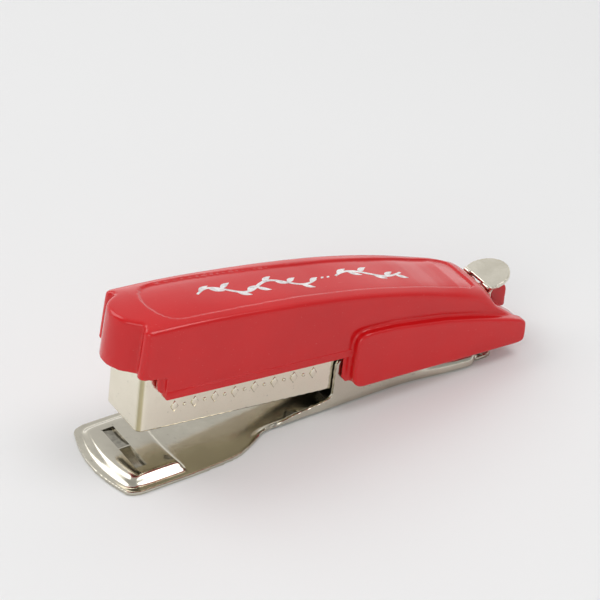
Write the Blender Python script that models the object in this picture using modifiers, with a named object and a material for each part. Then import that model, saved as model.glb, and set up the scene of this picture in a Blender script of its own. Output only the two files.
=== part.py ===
"""Pocket stapler: pressed steel base with anvil, staple channel, press-down plastic cover,
driver blade, and a pull-out follower rod with a round finger tab. Nose towards -X, rear towards +X.

Pieces of the base are drawn in the row frame. Everything above it hangs on an empty at the pivot
pin, tilted to the resting angle, and is drawn as it lies when the stapler is flat: (u, y, v) in
millimetres, u along the length from the paddle's front edge and v up from the table."""

import math

import bmesh
import bpy
from mathutils import Matrix

MM = 0.001
GAP = 0.3

# Layout, mm
CENTRE_U = 40.35  # u of the row frame's origin
PIVOT_U, PIVOT_V = 68.0, 6.0
REST_TILT = 6.74  # degrees the upper half stands open at rest

# Base sheet
SHEET = 0.7
ANVIL_TOP = 2.0
POCKET_ALONG = (3.55, 5.75)
POCKET = [(0.15, 0.1), (1.2, 0.28), (2.6, 0.42), (4.2, 0.48), (5.6, 0.45), (6.25, 0.38)]  # y and depth
EAR_IN, EAR_OUT = 6.05, 6.75
EAR_TOP = 10.6
STUD_R = 1.4

# Channel
CHANNEL_HALF, CHANNEL_WALL = 5.78, 0.7
NOSE_U, NOSE_R = 4.4, 1.3
CHANNEL_FLOOR, CHANNEL_REAR_FLOOR = 1.1, 2.6
CHANNEL_END = 76.0

# Follower
ROD_V, ROD_R = 5.6, 0.8
TAB_U, TAB_V, TAB_PITCH, TAB_R, TAB_SET = 75.6, 13.775, 17.0, 4.38, 1.83
TAB_T = 0.7

# Cover
SKIRT_INNER_FRONT, SKIRT_INNER_REAR = 6.2, 7.05
DECK_T = 1.2
RECESS_DEPTH = 0.4
WING_HALF = 9.3
EDGE_R = 0.7


# ---------------------------------------------------------------- helpers

def lerp_table(table, x):
    if x <= table[0][0]:
        return table[0][1]
    for (x0, y0), (x1, y1) in zip(table, table[1:]):
        if x <= x1:
            return y0 + (y1 - y0) * (x - x0) / (x1 - x0)
    return table[-1][1]


def smooth_table(table, x):
    """Catmull-Rom through the table's points."""
    if x <= table[0][0]:
        return table[0][1]
    if x >= table[-1][0]:
        return table[-1][1]
    i = max(k for k in range(len(table) - 1) if table[k][0] <= x)

    def slope(k):
        a, b = max(k - 1, 0), min(k + 1, len(table) - 1)
        return (table[b][1] - table[a][1]) / (table[b][0] - table[a][0])

    (x0, y0), (x1, y1) = table[i], table[i + 1]
    w, t = x1 - x0, (x - x0) / (x1 - x0)
    return ((2 * t**3 - 3 * t**2 + 1) * y0 + (t**3 - 2 * t**2 + t) * w * slope(i)
            + (3 * t**2 - 2 * t**3) * y1 + (t**3 - t**2) * w * slope(i + 1))


def smoothstep(low, high, x):
    t = min(max((x - low) / (high - low), 0.0), 1.0)
    return t * t * (3 - 2 * t)


def material(name, colour, roughness, metallic=0.0):
    made = bpy.data.materials.new(name)
    made.use_nodes = True
    shader = made.node_tree.nodes["Principled BSDF"]
    shader.inputs["Base Color"].default_value = (*colour, 1.0)
    shader.inputs["Roughness"].default_value = roughness
    shader.inputs["Metallic"].default_value = metallic
    return made


def new_object(name, mesh, where, colour=None):
    """where: 'base' for the row frame, 'upper' for the tilted half, 'cutter' (upper) or 'base_cutter'."""
    obj = bpy.data.objects.new(name, mesh)
    cutter = where.endswith("cutter")
    (CUTTERS if cutter else PARTS).objects.link(obj)
    if cutter:
        obj.hide_render = True
        obj.display_type = "WIRE"
    if where in ("upper", "cutter"):
        obj.parent = UPPER
    if colour:
        mesh.materials.append(colour)
    return obj


def shift(point, where):
    u, y, v = point
    if where in ("upper", "cutter"):
        return ((u - PIVOT_U) * MM, y * MM, (v - PIVOT_V) * MM)
    return ((u - CENTRE_U) * MM, y * MM, v * MM)


def from_bmesh(name, bm, where, colour=None, smooth=None):
    bmesh.ops.recalc_face_normals(bm, faces=bm.faces)
    closed = all(edge.is_manifold for edge in bm.edges)
    if closed and bm.calc_volume(signed=True) < 0:
        bmesh.ops.reverse_faces(bm, faces=bm.faces)
    mesh = bpy.data.meshes.new(name)
    bm.to_mesh(mesh)
    bm.free()
    if smooth:
        mesh.shade_smooth()
        mesh.set_sharp_from_angle(angle=math.radians(smooth))
    return new_object(name, mesh, where, colour)


def block(name, low, high, where, colour=None):
    low, high = shift(low, where), shift(high, where)
    bm = bmesh.new()
    bmesh.ops.create_cube(bm, size=1.0)
    for vert in bm.verts:
        vert.co = [low[k] + (vert.co[k] + 0.5) * (high[k] - low[k]) for k in range(3)]
    return from_bmesh(name, bm, where, colour)


def flat(name, outline, depth, plane, where, colour=None, smooth=None):
    """An outline extruded from depth[0] to depth[1]: 'uv' extrudes along y, 'uy' along v, 'yv' along u."""
    curve = bpy.data.curves.new(name, "CURVE")
    curve.dimensions = "2D"
    curve.fill_mode = "BOTH"
    curve.extrude = abs(depth[1] - depth[0]) / 2 * MM
    spline = curve.splines.new("POLY")
    spline.points.add(len(outline) - 1)
    spline.use_cyclic_u = True
    for point, (a, b) in zip(spline.points, outline):
        point.co = (a * MM, b * MM, 0, 1)
    temp = bpy.data.objects.new(name + "_outline", curve)
    CUTTERS.objects.link(temp)
    graph = bpy.context.evaluated_depsgraph_get()
    mesh = bpy.data.meshes.new_from_object(temp.evaluated_get(graph))
    bpy.data.objects.remove(temp)
    bm = bmesh.new()
    bm.from_mesh(mesh)
    bpy.data.meshes.remove(mesh)
    bmesh.ops.remove_doubles(bm, verts=bm.verts, dist=1e-6)
    middle = (depth[0] + depth[1]) / 2
    zero = shift((0, 0, 0), where)
    for vert in bm.verts:
        a, b, c = vert.co
        c += middle * MM
        if plane == "uv":
            spot = (a, c, b)
        elif plane == "uy":
            spot = (a, b, c)
        else:
            spot = (c, a, b)
        vert.co = [spot[k] + zero[k] for k in range(3)]
    return from_bmesh(name, bm, where, colour, smooth)


def turned(name, profile, axis, centre, where, colour=None, steps=24):
    """A turned piece. profile: (along, radius) mm, end to end along the axis, both ends at radius 0."""
    bm = bmesh.new()
    points = profile[::-1] if profile[0][0] < profile[-1][0] else profile
    verts = [bm.verts.new((r * MM, 0, a * MM)) for a, r in points]
    for first, second in zip(verts, verts[1:]):
        bm.edges.new((first, second))
    mesh = bpy.data.meshes.new(name)
    bm.to_mesh(mesh)
    bm.free()
    obj = new_object(name, mesh, where, colour)
    screw = obj.modifiers.new("Turn", "SCREW")
    screw.steps = screw.render_steps = steps
    screw.use_merge_vertices = True
    screw.merge_threshold = 0.00002
    screw.use_smooth_shade = False
    obj.location = shift(centre, where)
    if axis == "y":
        obj.rotation_euler = (-math.pi / 2, 0, 0)
    elif axis == "u":
        obj.rotation_euler = (0, math.pi / 2, 0)
    return obj


def boolean(obj, kind, others):
    for other in others:
        mod = obj.modifiers.new(f"{kind.title()} {other.name}", "BOOLEAN")
        mod.operation = kind
        mod.solver = "EXACT"
        mod.object = other


def grid_faces(bm, rows, close=False):
    for a, b in zip(rows, rows[1:]):
        count = len(a)
        for k in range(count if close else count - 1):
            n = (k + 1) % count
            face = [a[k], a[n], b[n], b[k]]
            unique = []
            for vert in face:
                if vert not in unique:
                    unique.append(vert)
            if len(unique) > 2:
                bm.faces.new(unique)


def arc(cx, cy, r, start, end, count):
    """Points on a circle, angles in degrees."""
    angles = [math.radians(start + (end - start) * k / count) for k in range(count + 1)]
    return [(cx + r * math.cos(a), cy + r * math.sin(a)) for a in angles]


def drawn_in(outline, inset):
    """The outline, counter-clockwise, moved inwards square to its edges."""
    moved = []
    for before, here, after in zip(outline[-1:] + outline[:-1], outline, outline[1:] + outline[:1]):
        a = (here[0] - before[0], here[1] - before[1])
        b = (after[0] - here[0], after[1] - here[1])
        na = (-a[1] / math.hypot(*a), a[0] / math.hypot(*a))
        nb = (-b[1] / math.hypot(*b), b[0] / math.hypot(*b))
        scale = inset / max(1 + na[0] * nb[0] + na[1] * nb[1], 0.4)
        moved.append((here[0] + (na[0] + nb[0]) * scale, here[1] + (na[1] + nb[1]) * scale))
    return moved


def soft_slab(name, outline, inner, outer, radius, where):
    """An outline in the side plane extruded along y, its outer face's rim rounded."""
    side = 1 if outer > inner else -1
    bm = bmesh.new()
    rings = []
    for inset, y in [(0, inner)] + [(radius * (1 - math.cos(math.radians(a))),
                                     outer - side * radius * (1 - math.sin(math.radians(a))))
                                    for a in (0, 30, 60, 90)]:
        rings.append([bm.verts.new(shift((u, y, v), where)) for u, v in drawn_in(outline, inset)])
    grid_faces(bm, rings, close=True)
    bm.faces.new(rings[0])
    bm.faces.new(rings[-1])
    return from_bmesh(name, bm, where)


def leaf(name, line, thickness, half_width, where, colour):
    """A bent strip: the line runs along its underside."""
    upper = [(u, v + thickness) for u, v in line]
    return flat(name, line + upper[::-1], (-half_width, half_width), "uv", where, colour, smooth=40)


# ---------------------------------------------------------------- base sheet

HALF_WIDTH = [(-2.0, 11.1), (10.9, 11.1), (16.0, 10.9), (21.0, 10.5), (23.5, 9.4), (27.2, 7.55),
              (29.1, 6.95), (31.5, EAR_OUT), (57.0, EAR_OUT), (66.0, 8.1), (70.3, 8.45), (70.9, 7.9),
              (71.7, 6.95), (74.8, 6.8), (75.8, 6.2), (76.6, 4.6)]
FLANGE_TOP = [(26.0, SHEET), (29.3, 0.95), (31.0, 1.3), (35.1, 2.1), (41.7, 2.6), (42.2, 3.2),
              (42.7, EAR_TOP - 1.0), (43.4, EAR_TOP), (66.0, EAR_TOP), (69.6, 9.8), (70.9, 7.8),
              (71.3, 2.2), (72.2, 1.6), (75.6, 1.3)]
FLOOR_TOP = [(70.0, SHEET), (77.0, SHEET)]
EDGE_STEPS = [0.0, 0.55, 1.1, 1.5, 2.0, 2.6, 3.3]
INNER_SHARE = [0.66, 0.33, 0.0]


def front_edge(y):
    """The paddle's bowed front: how far back its edge lies at this y."""
    y = abs(y)
    corner = 0.0 if y < 9.2 else 2.6 * (1 - math.sqrt(max(0.0, 1 - ((y - 9.2) / 1.9) ** 2)))
    return -2.0 + 0.02 * min(y, 9.2) ** 2 + corner


def sheet_height(along, back, edge):
    """Top of the paddle: back = distance from the front edge, edge = distance from the side."""
    a = min(max((back - 0.9) / 2.3, 0.0), 1.0)
    b = min(max((edge - 1.1) / 2.2, 0.0), 1.0)
    rise = 1 - min(math.hypot(1 - a, 1 - b), 1.0)
    rise = rise * rise * (3 - 2 * rise)
    rise *= 1 - smoothstep(10.2, 11.0, along)
    return SHEET + (ANVIL_TOP - SHEET) * rise


def bowed(x, y):
    """Where a row at x lies at this y: the step behind the paddle bows the other way from its front."""
    return x + 0.008 * y * y if x < 13 else x


def sheet_row(x, paddle):
    """Points of the sheet's top from the +Y edge to the -Y edge. paddle: x counts from the bowed front."""
    half = lerp_table(HALF_WIDTH, x)
    upright = smoothstep(24.0, 31.5, x)
    rear = smoothstep(71.3, 72.2, x)
    floor, top = lerp_table(FLOOR_TOP, x), lerp_table(FLANGE_TOP, x)
    flare = max(half - EAR_OUT, 0.0) if x > 50 else 0.0
    foot = half - SHEET - flare
    middle = (top + floor + 0.6) / 2 if x < 50 else min(2.3, (top + floor + 0.6) / 2)
    lip = floor + 0.6 if x < 50 else middle - 0.35
    wall = [(foot, top), (foot, middle),
            (foot + flare, lip), (foot + flare - 0.15, floor + 0.25),
            (foot + flare - 0.4, floor + 0.06), (foot + flare - 0.7, floor), (foot + flare - 1.4, floor)]
    side = []
    for k, step in enumerate(EDGE_STEPS):
        flat_y = half - step
        if paddle:
            y = half - step
            start = front_edge(y)
            spot = start + x / 12.0 * (12.0 - start)
            side.append((spot, y, sheet_height(spot, spot - start, step)))
            continue
        level = sheet_height(x, 99.0, step) if x < 13 else floor
        turn = upright * (1 - rear)
        side.append((bowed(x, flat_y), flat_y + (wall[k][0] - flat_y) * turn,
                     level + (wall[k][1] - level) * turn))
    limit = side[-1][1]
    for share in INNER_SHARE:
        y = limit * share
        if paddle:
            start = front_edge(y)
            spot = start + x / 12.0 * (12.0 - start)
            side.append((spot, y, sheet_height(spot, spot - start, 11.1 - y)))
        else:
            side.append((bowed(x, y), y, sheet_height(x, 99.0, 9.0) if x < 13 else floor))
    return side + [(u, -y, v) for u, y, v in side[-2::-1]]


def make_base_plate():
    rows = [sheet_row(x, True) for x in (0, 0.55, 0.95, 1.3, 1.65, 2.0, 2.4, 4.5, 8.0)]
    rows += [sheet_row(x, False) for x in (
        10.1, 10.35, 10.6, 10.85, 11.1, 16, 21, 22.5, 24, 25.5, 27.2, 29.1, 31.5, 35.1, 41.7, 42.2, 42.7,
        43.4, 50, 57, 61, 66, 69.6, 70.3, 70.9, 71.3, 71.7, 72.2, 73.2, 74.0, 75.0, 75.8, 76.6)]
    bm = bmesh.new()
    grid = [[bm.verts.new(shift(point, "base")) for point in row] for row in rows]
    grid_faces(bm, grid)
    obj = from_bmesh("base_plate", bm, "base", NICKEL, smooth=35)
    if obj.data.polygons[0].normal.z < 0:
        obj.data.flip_normals()
    shell = obj.modifiers.new("Sheet", "SOLIDIFY")
    shell.thickness = SHEET * MM
    shell.offset = -1
    shell.use_quality_normals = True
    pockets = []
    for side, word in ((1, "left"), (-1, "right")):
        scoop = [(side * y, ANVIL_TOP - depth) for y, depth in POCKET]
        scoop += [(side * POCKET[-1][0], ANVIL_TOP + 0.4), (side * POCKET[0][0], ANVIL_TOP + 0.4)]
        pockets.append(flat(f"anvil_pocket_{word}", scoop, POCKET_ALONG, "yv", "base_cutter"))
    holes = [turned("ear_hole_cutter", [(-9, 0), (-9, STUD_R + GAP), (9, STUD_R + GAP), (9, 0)], "y",
                    (PIVOT_U, 0, PIVOT_V), "base_cutter", steps=24),
             turned("spring_hole_cutter", [(-1, 0), (-1, 1.3), (2, 1.3), (2, 0)], "v",
                    (60.0, 0, 0), "base_cutter", steps=20)]
    boolean(obj, "DIFFERENCE", pockets + holes)
    return obj


def make_base_fittings():
    for side, word in ((1, "left"), (-1, "right")):
        profile = [(5.2, 0), (5.2, STUD_R - 0.1), (5.3, STUD_R), (8.1, STUD_R), (8.2, STUD_R - 0.1), (8.2, 0)]
        if side < 0:
            profile = [(-a, r) for a, r in profile]
        turned(f"pivot_stud_{word}", profile, "y", (PIVOT_U, 0, PIVOT_V), "base", STEEL)
    line = [(62.5, 0.98), (58.0, 0.98), (56.0, 1.05), (53.0, 1.45), (50.0, 2.05), (47.0, 2.7), (45.6, 2.95),
            (44.6, 2.9), (44.0, 2.65)]
    spring = leaf("lift_spring", line, 0.32, 2.6, "base", SPRING_STEEL)
    boolean(spring, "DIFFERENCE", [turned("lift_spring_hole", [(-1, 0), (-1, 1.2), (3, 1.2), (3, 0)], "v",
                                          (60.0, 0, 0), "base_cutter", steps=20)])
    turned("lift_spring_rivet", [(0.15, 0), (0.15, 0.9), (1.6, 0.9), (1.6, 1.7), (1.85, 1.6), (2.05, 1.1),
                                 (2.12, 0)], "v", (60.0, 0, 0), "base", STEEL, steps=20)


# ---------------------------------------------------------------- channel

def nose_outline(offset, rear):
    """Plan of the channel, counter-clockwise, drawn in by offset."""
    r = NOSE_R - offset
    half, front = CHANNEL_HALF - offset, NOSE_U + NOSE_R
    near = arc(front, -(CHANNEL_HALF - NOSE_R), r, 180, 270, 6)
    far = arc(front, CHANNEL_HALF - NOSE_R, r, 90, 180, 6)
    return near + [(rear, -half), (rear, half)] + far


def make_channel():
    body = flat("magazine_channel", nose_outline(0, CHANNEL_END), (CHANNEL_FLOOR, 14.3), "uy", "upper", NICKEL,
                smooth=30)
    top = [(2, 20), (2, 14.4), (3, 14.3), (11, 14.1), (12.5, 13.6), (17, 10.2), (19, 9.7), (60, 9.0),
           (74, 8.6), (CHANNEL_END + 3, 8.5), (CHANNEL_END + 3, 20)]
    bottom = [(2, -3), (2, 0.6), (44.8, 0.6), (45.2, 1.4),
              (46.6, CHANNEL_REAR_FLOOR), (68.8, CHANNEL_REAR_FLOOR), (72.0, 3.0), (CHANNEL_END + 3, 5.8),
              (CHANNEL_END + 3, -3)]
    floor = CHANNEL_FLOOR + CHANNEL_WALL
    rear_floor = CHANNEL_REAR_FLOOR + CHANNEL_WALL
    hollow = nose_outline(CHANNEL_WALL, 44.2)
    half = CHANNEL_HALF - CHANNEL_WALL
    cutters = [
        flat("channel_top_cut", top, (-9, 9), "uv", "cutter"),
        flat("channel_bottom_cut", bottom, (-9, 9), "uv", "cutter"),
        flat("channel_hollow", hollow, (floor, 22), "uy", "cutter"),
        flat("channel_rear_hollow", [(43.5, floor), (44.3, floor), (46.0, rear_floor), (69.0, rear_floor),
                                     (72.0, rear_floor + 0.45), (CHANNEL_END + 4, rear_floor + 0.45),
                                     (CHANNEL_END + 4, 22), (43.5, 22)], (-half, half), "uv", "cutter"),
        block("staple_exit", (5.0, -4.9, -2), (6.1, 4.9, 5), "cutter"),
        turned("channel_pivot_hole", [(-9, 0), (-9, STUD_R + GAP), (9, STUD_R + GAP), (9, 0)], "y",
               (PIVOT_U, 0, PIVOT_V), "cutter"),
    ]
    for k, u in enumerate((14.0, 38.0)):
        cutters.append(turned(f"channel_rivet_hole_{k}", [(-1, 0), (-1, 1.3), (2.6, 1.3), (2.6, 0)], "v",
                              (u, 0, 0), "cutter", steps=20))
    boolean(body, "DIFFERENCE", cutters)


def make_rail():
    outer, inner = 4.0, 3.3
    outline = [(-outer, 6.6), (-outer, 2.1), (outer, 2.1), (outer, 6.6), (inner, 6.6), (inner, 2.8),
               (-inner, 2.8), (-inner, 6.6)]
    rail = flat("staple_rail", outline, (6.6, 43.6), "yv", "upper", STEEL)
    holes = []
    for word, u in (("front", 14.0), ("rear", 38.0)):
        holes.append(turned(f"rail_hole_{word}", [(-1, 0), (-1, 1.3), (3.2, 1.3), (3.2, 0)], "v", (u, 0, 0),
                            "cutter", steps=20))
        turned(f"rail_rivet_{word}", [(1.15, 0), (1.15, 1.0), (3.08, 1.0), (3.08, 1.7), (3.3, 1.55),
                                      (3.42, 1.0), (3.45, 0)], "v", (u, 0, 0), "upper", STEEL, steps=20)
    boolean(rail, "DIFFERENCE", holes)


def make_spring_bridge():
    bridge = flat("spring_bridge", [(-5.7, 10.05), (-5.7, 9.4), (5.7, 9.4), (5.7, 10.05)], (49.0, 62.0), "yv",
                  "upper", STEEL)
    hole = [(-3, 0), (-3, 1.2), (8, 1.2), (8, 0)]
    boolean(bridge, "DIFFERENCE", [turned("bridge_hole", hole, "v", (58.0, 0, PIVOT_V), "cutter", steps=20)])
    line = [(61.5, 10.35), (55.5, 10.35), (53.0, 10.55), (48.0, 12.1), (42.0, 14.6), (37.0, 16.5), (34.5, 17.1),
            (33.0, 17.1), (32.0, 16.8)]
    spring = leaf("cover_spring", line, 0.32, 2.6, "upper", SPRING_STEEL)
    boolean(spring, "DIFFERENCE", [turned("cover_spring_hole", hole, "v", (58.0, 0, PIVOT_V), "cutter",
                                          steps=20)])
    turned("cover_spring_rivet", [(2.7, 0), (2.7, 1.5), (3.1, 1.6), (3.1, 0.9), (5.0, 0.9), (5.0, 1.7),
                                  (5.25, 1.6), (5.45, 1.1), (5.5, 0)], "v", (58.0, 0, PIVOT_V), "upper", STEEL,
           steps=20)


# ---------------------------------------------------------------- driver and follower

def make_driver():
    line = [(5.3, 7.4), (5.75, 7.4), (5.75, 18.3), (6.1, 18.65), (9.4, 18.65), (9.4, 19.1), (6.0, 19.1),
            (5.5, 18.9), (5.3, 18.4)]
    flat("driver_blade", line, (-4.6, 4.6), "uv", "upper", STEEL)


def make_pusher():
    saddle = [(-4.7, 8.2), (-4.7, 3.5), (-4.3, 3.5), (-4.3, 7.2), (4.3, 7.2), (4.3, 3.5), (4.7, 3.5),
              (4.7, 8.2)]
    pusher = flat("pusher", saddle, (6.9, 13.5), "yv", "upper", STEEL)
    tongue = block("pusher_tongue", (11.0, -3.0, 3.7), (13.2, 3.0, 7.5), "cutter")
    bore = turned("pusher_bore", [(-60, 0), (-60, ROD_R + GAP), (-50, ROD_R + GAP), (-50, 0)], "u",
                  (PIVOT_U, 0, ROD_V), "cutter", steps=20)
    boolean(pusher, "UNION", [tongue])
    boolean(pusher, "DIFFERENCE", [bore])


def make_rod():
    def along(u):
        return u - PIVOT_U

    turned("follower_rod", [(along(8.9), 0), (along(8.9), 1.1), (along(9.1), 1.3), (along(10.1), 1.3),
                            (along(10.4), ROD_R), (along(76.7), ROD_R), (along(76.7), 1.5), (along(77.2), 1.4),
                            (along(77.5), 0.9), (along(77.6), 0)], "u", (PIVOT_U, 0, ROD_V), "upper", STEEL,
           steps=20)
    bore = turned("rod_bore", [(along(55), 0), (along(55), ROD_R + GAP), (along(82), ROD_R + GAP),
                               (along(82), 0)], "u", (PIVOT_U, 0, ROD_V), "cutter", steps=20)
    collar = turned("rod_collar", [(along(60.0), 0), (along(60.0), 1.9), (along(60.2), 2.0), (along(61.3), 2.0),
                                   (along(61.5), 1.9), (along(61.5), 0)], "u", (PIVOT_U, 0, ROD_V), "upper",
                    STEEL, steps=20)
    guide = flat("rod_guide", [(-3.95, 7.1), (-3.95, 4.0), (3.95, 4.0), (3.95, 7.1)], (70.4, 71.4), "yv",
                 "upper", STEEL)
    boolean(collar, "DIFFERENCE", [bore])
    boolean(guide, "DIFFERENCE", [bore])
    coil = bpy.data.curves.new("pusher_spring", "CURVE")
    coil.dimensions = "3D"
    coil.bevel_depth = 0.26 * MM
    coil.bevel_resolution = 1
    coil.use_fill_caps = True
    turns, per_turn, start, end, r = 15, 12, 13.85, 59.65, 1.5
    spline = coil.splines.new("POLY")
    spline.points.add(turns * per_turn)
    for k, point in enumerate(spline.points):
        angle = 2 * math.pi * k / per_turn
        u = start + 0.3 + (end - start - 0.6) * k / (turns * per_turn)
        point.co = (*shift((u, r * math.cos(angle), ROD_V + r * math.sin(angle)), "upper"), 1)
    obj = bpy.data.objects.new("pusher_spring", coil)
    obj.parent = UPPER
    coil.materials.append(SPRING_STEEL)
    PARTS.objects.link(obj)
    return bore


def make_tab(bore):
    pitch = math.radians(TAB_PITCH)
    start = math.degrees(math.acos(TAB_SET / TAB_R))
    outline = arc(TAB_SET, 0, TAB_R, start - 180, 180 - start, 30)
    plate = flat("pull_tab", outline, (-TAB_T, 0), "uy", "upper", NICKEL, smooth=30)
    bend = plate.modifiers.new("Soft edge", "BEVEL")
    bend.width = 0.12 * MM
    bend.segments = 2
    bend.limit_method = "ANGLE"
    bend.angle_limit = math.radians(50)
    zero = Matrix.Translation(shift((0, 0, 0), "upper")).inverted()
    place = (Matrix.Translation(shift((TAB_U, 0, TAB_V), "upper")) @ Matrix.Rotation(-pitch, 4, "Y") @ zero)
    plate.data.transform(place)
    legs = []
    for side, word in ((1, "left"), (-1, "right")):
        line = [(75.62, 13.3), (75.62, 4.2), (76.32, 4.2), (76.32, 12.6), (76.6, 13.05), (77.3, 13.3),
                (77.2, 13.9), (76.0, 13.62)]
        legs.append(flat(f"tab_leg_{word}", line, (side * 2.2, side * 3.8), "uv", "cutter"))
    bar = block("tab_crossbar", (75.64, -3.0, 4.22), (76.3, 3.0, 7.2), "cutter")
    boolean(plate, "UNION", legs + [bar])
    boolean(plate, "DIFFERENCE", [bore])


# ---------------------------------------------------------------- cover

SIDE_EDGE = [(0.0, 21.6), (3.4, 21.7), (14.4, 21.9), (25.4, 21.6), (36.3, 21.0), (47.3, 19.9), (58.3, 17.9),
             (65.0, 16.1), (69.3, 14.8), (75.6, 11.5), (79.3, 9.1), (80.6, 8.2)]
CROWN = [(0.0, 0.9), (6.0, 1.2), (16.0, 1.1), (28.0, 0.7), (40.0, 0.4), (55.0, 0.5), (65.0, 1.0), (70.0, 1.55),
         (73.3, 2.1), (74.4, 1.9), (75.0, 0.6), (75.6, 0.1), (80.6, 0.0)]
CROWN_POWER = [(0.0, 2.2), (16.0, 2.4), (40.0, 4.0), (81.0, 5.0)]
STEP_LINE = [(8.0, 9.75), (26.0, 9.9), (44.0, 10.05), (47.0, 10.0), (56.0, 5.0), (81.0, 4.0)]


def side_half(u):
    return 8.0 - 0.5 * smoothstep(10.0, 80.0, u)


def deck(u, y, drop=0.0):
    share = min(abs(y) / side_half(u), 1.0)
    return (smooth_table(SIDE_EDGE, u) + lerp_table(CROWN, u) * (1 - share ** lerp_table(CROWN_POWER, u))
            - drop)


def cover_outline():
    """Half plan of the cover at mid height, from the nose's tip to the rear, as (u, y, outward normal)."""
    points = []
    bulge_u, bulge_r = 5.7, 5.64
    for angle in (0, 8, 17, 27, 37, 47, 57, 66):
        a = math.radians(angle)
        points.append((bulge_u - bulge_r * math.cos(a), bulge_r * math.sin(a), (-math.cos(a), math.sin(a))))
    points.append((3.62, 5.75, (-0.95, 0.3)))
    ear_u, ear_y, ear_r = 4.15, 6.85, 1.15
    for angle in (220, 195, 170, 145, 118, 92):
        a = math.radians(angle)
        points.append((ear_u + ear_r * math.cos(a), ear_y + ear_r * math.sin(a), (math.cos(a), math.sin(a))))
    for u in (7.0, 10.0, 14.0, 18.0, 23.0, 28.0, 34.0, 40.0, 46.0, 52.0, 57.0, 61.0, 65.0, 68.0, 70.5, 72.5,
              73.3, 74.0, 74.4, 74.8, 75.2, 75.8, 77.0, 78.6):
        points.append((u, side_half(u), (0.0, 1.0)))
    for angle in (90, 60, 30, 2):
        a = math.radians(angle)
        points.append((79.9 + 1.1 * math.cos(a), side_half(79) - 1.1 + 1.1 * math.sin(a),
                       (math.cos(a), math.sin(a))))
    return points


def make_cover_outer():
    half = cover_outline()
    columns = [1.0, 0.965, 0.9, 0.8, 0.6, 0.3, 0.0]
    centre_u = [u - n[0] * EDGE_R for u, _, n in half[:8]] + [4.95, 5.4, 5.7, 6.0, 6.3, 6.6, 6.95]
    centre_u += [max(u - n[0] * EDGE_R, 7.3) for u, _, n in half[15:]]
    bm = bmesh.new()

    def lean(u, v):
        return u + 0.07 * (v - 14.0) * (1 - smoothstep(4.5, 9.0, u))

    def ring(inset, level):
        """One ring round the whole plan; level(u, y) gives its height."""
        spots = []
        for u, y, (nu, ny) in half:
            spots.append((u - nu * inset, max(y - ny * inset, 0.0)))
        spots[0] = (spots[0][0], 0.0)
        loop = spots + [(u, -y) for u, y in reversed(spots[1:])]
        made = []
        for u, y in loop:
            v = level(u, y)
            made.append(bm.verts.new(shift((lean(u, v), y, v), "upper")))
        return made

    def fillet_level(amount):
        return lambda u, y: deck(u, y) - amount

    rings = [ring(-0.12, lambda u, y: -1.0), ring(-0.12, lambda u, y: lerp_table(STEP_LINE, u) - 0.06),
             ring(0.0, lambda u, y: lerp_table(STEP_LINE, u) + 0.06)]
    for degrees in (0, 30, 60, 90):
        a = math.radians(degrees)
        rings.append(ring(EDGE_R * (1 - math.cos(a)), fillet_level(EDGE_R * (1 - math.sin(a)))))
    grid_faces(bm, rings, close=True)
    bm.faces.new(rings[0])

    top = rings[-1]
    count = len(half)
    spots = [(u - n[0] * EDGE_R, max(y - n[1] * EDGE_R, 0.0)) for u, y, n in half]
    rows = []
    for k in range(1, count):
        left, right = top[k], top[len(top) - k]
        u_edge, y_edge = spots[k]
        row = [left]
        for share in columns[1:] + [-c for c in columns[-2:0:-1]]:
            y = y_edge * share
            u = centre_u[k] + (u_edge - centre_u[k]) * abs(share) ** 14
            v = deck(u, y)
            row.append(bm.verts.new(shift((lean(u, v), y, v), "upper")))
        row.append(right)
        rows.append(row)
    grid_faces(bm, rows)
    first = rows[0]
    bm.faces.new([top[0]] + first)
    last = rows[-1]
    ends = top[count - 1], top[count]
    assert last[0] in ends and last[-1] in ends
    bm.faces.new(last[::-1])
    return from_bmesh("cover_shell", bm, "upper", RED, smooth=32)


def cavity_outline():
    half = [(1.9, 0.0), (1.9, 1.6), (2.6, 3.1), (3.8, 4.2)]
    half += [(u, y) for u, y in arc(NOSE_U + NOSE_R, CHANNEL_HALF - NOSE_R, NOSE_R + 0.36, 172, 95, 5)]
    half += [(7.0, SKIRT_INNER_FRONT), (39.5, SKIRT_INNER_FRONT), (41.2, SKIRT_INNER_REAR),
             (79.4, SKIRT_INNER_REAR - 0.25), (79.4, 4.4), (90.0, 4.4)]
    return half


def make_cavity():
    """The hollow under the deck: stations along u with the roof following the side edge line."""
    half = cavity_outline()
    bm = bmesh.new()
    stations = sorted({u for u, _ in half} | {12.0, 20.0, 28.0, 36.0, 48.0, 55.0, 61.0, 66.0, 70.0, 74.0, 77.0})
    outline = sorted(half, key=lambda p: p[0])

    def half_at(u, after):
        spots = [p for p in half if abs(p[0] - u) < 1e-9]
        if len(spots) > 1:
            return spots[-1][1] if after else spots[0][1]
        return lerp_table([(a, b) for a, b in outline], u)

    rows = []
    for u in stations:
        both = sum(abs(p[0] - u) < 1e-9 for p in half) > 1
        for after in ((False, True) if both and u > 70 else (True,)):
            width = max(half_at(u, after), 0.01)
            place = u + (0.02 if after and both and u > 70 else 0.0)
            roof = smooth_table(SIDE_EDGE, min(place, 79.0)) - DECK_T
            row = [(place, -width, -4.0), (place, width, -4.0), (place, width, roof - 0.5),
                   (place, width - 0.5, roof), (place, 0.5 - width, roof), (place, -width, roof - 0.5)]
            rows.append([bm.verts.new(shift(point, "cutter")) for point in row])
    grid_faces(bm, rows, close=True)
    bm.faces.new(rows[0])
    bm.faces.new(rows[-1])
    return from_bmesh("cover_cavity", bm, "cutter")


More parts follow.
